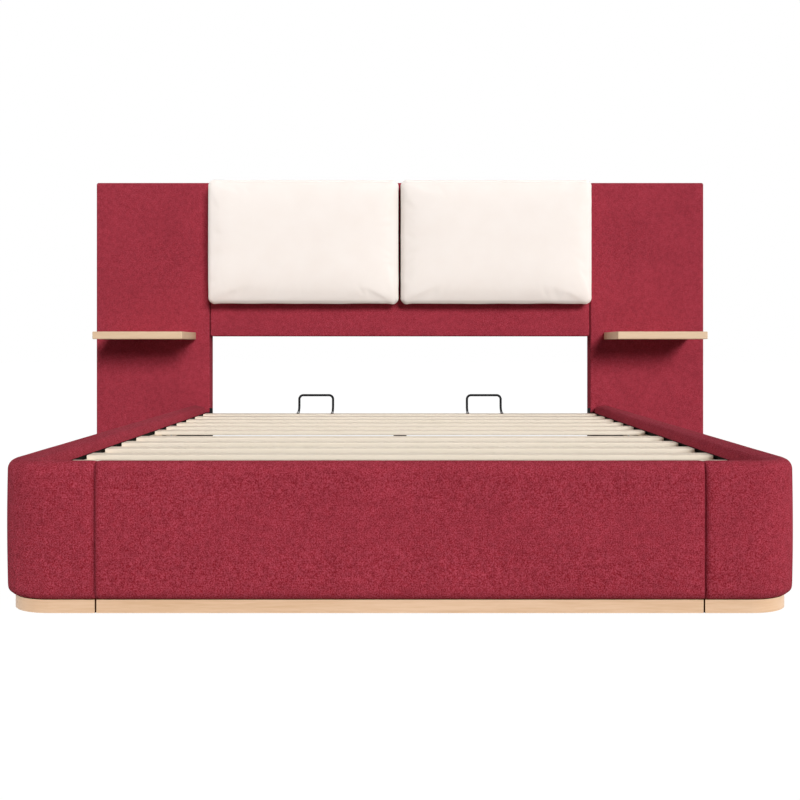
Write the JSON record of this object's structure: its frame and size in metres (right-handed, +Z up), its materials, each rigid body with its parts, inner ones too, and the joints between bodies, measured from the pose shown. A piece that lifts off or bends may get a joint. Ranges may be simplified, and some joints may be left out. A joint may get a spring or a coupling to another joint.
{
  "type": "upholstered platform bed",
  "caption": "Low padded platform bed with rounded front corners on a timber plinth, a slatted bay, and a wide winged headboard with shelves and back cushions.",
  "frame": {"origin": "on the floor under the middle of the overall box", "axes": "+X across the bed to the right seen from the foot, +Y from foot to head, +Z up"},
  "size_m": [2.408, 2.2136, 1.1985],
  "materials": {
    "red_fabric": "woven, matte",
    "cream_fabric": "woven, matte",
    "pale_oak": "satin lacquer",
    "birch": "planed, matte",
    "pine": "sawn",
    "black_lining": "non-woven, matte",
    "black_steel": "satin powder coat",
    "zinc_steel": "zinc plated",
    "black_plastic": "moulded",
    "hook_and_loop": "hook and loop tape"
  },
  "bodies": {
    "bed": {"base_bolts": "zinc_steel", "beam_hanger": "black_steel", "beam_leg_head": "black_steel", "beam_leg_middle": "black_steel", "centre_beam": "black_steel", "centre_cover": "red_fabric", "centre_frame": "pine", "centre_lining": "black_lining", "foot_panel_cover": "red_fabric", "foot_panel_frame": "pine", "foot_panel_lining": "black_lining", "foot_panel_plates": "zinc_steel", "foot_panel_plinth": "pale_oak", "headboard_bolts": "zinc_steel", "headboard_plates": "zinc_steel", "hook_strips": "hook_and_loop", "ledger_left": "birch", "ledger_right": "birch", "ledger_screws": "zinc_steel", "mattress_stop_left": "black_steel", "mattress_stop_right": "black_steel", "rail_brackets": "black_steel", "rail_cover_left": "red_fabric", "rail_cover_right": "red_fabric", "rail_end_bolts": "zinc_steel", "rail_frame_left": "pine", "rail_frame_right": "pine", "rail_linings": "black_lining", "rail_plinth_left": "pale_oak", "rail_plinth_right": "pale_oak", "shelf_left": "pale_oak", "shelf_right": "pale_oak", "shelf_rods": "zinc_steel", "short_screws": "zinc_steel", "slat_01": "birch", "slat_02": "birch", "slat_03": "birch", "slat_04": "birch", "slat_05": "birch", "slat_06": "birch", "slat_07": "birch", "slat_08": "birch", "slat_09": "birch", "slat_10": "birch", "slat_11": "birch", "slat_12": "birch", "slat_screws": "zinc_steel", "wing_cover_left": "red_fabric", "wing_cover_right": "red_fabric", "wing_frame_left": "pine", "wing_frame_right": "pine", "wing_glides": "black_plastic", "wing_linings": "black_lining"},
    "left_cushion": {"cushion_left": "cream_fabric", "loop_strips_left": "hook_and_loop"},
    "right_cushion": {"cushion_right": "cream_fabric", "loop_strips_right": "hook_and_loop"},
    "middle_foot": {"levelling_foot_middle": "black_plastic"},
    "head_foot": {"levelling_foot_head": "black_plastic"}
  },
  "joints": [
    {"name": "left_cushion_pull", "type": "slide", "parent": "bed", "child": "left_cushion", "axis": [0, -1, 0], "range_m": [0, 0.3]},
    {"name": "right_cushion_pull", "type": "slide", "parent": "bed", "child": "right_cushion", "axis": [0, -1, 0], "range_m": [0, 0.3]},
    {"name": "middle_foot_screw", "type": "slide", "parent": "bed", "child": "middle_foot", "axis": [0, 0, 1], "range_m": [-0.012, 0.012]},
    {"name": "head_foot_screw", "type": "slide", "parent": "bed", "child": "head_foot", "axis": [0, 0, 1], "range_m": [-0.012, 0.012]}
  ]
}
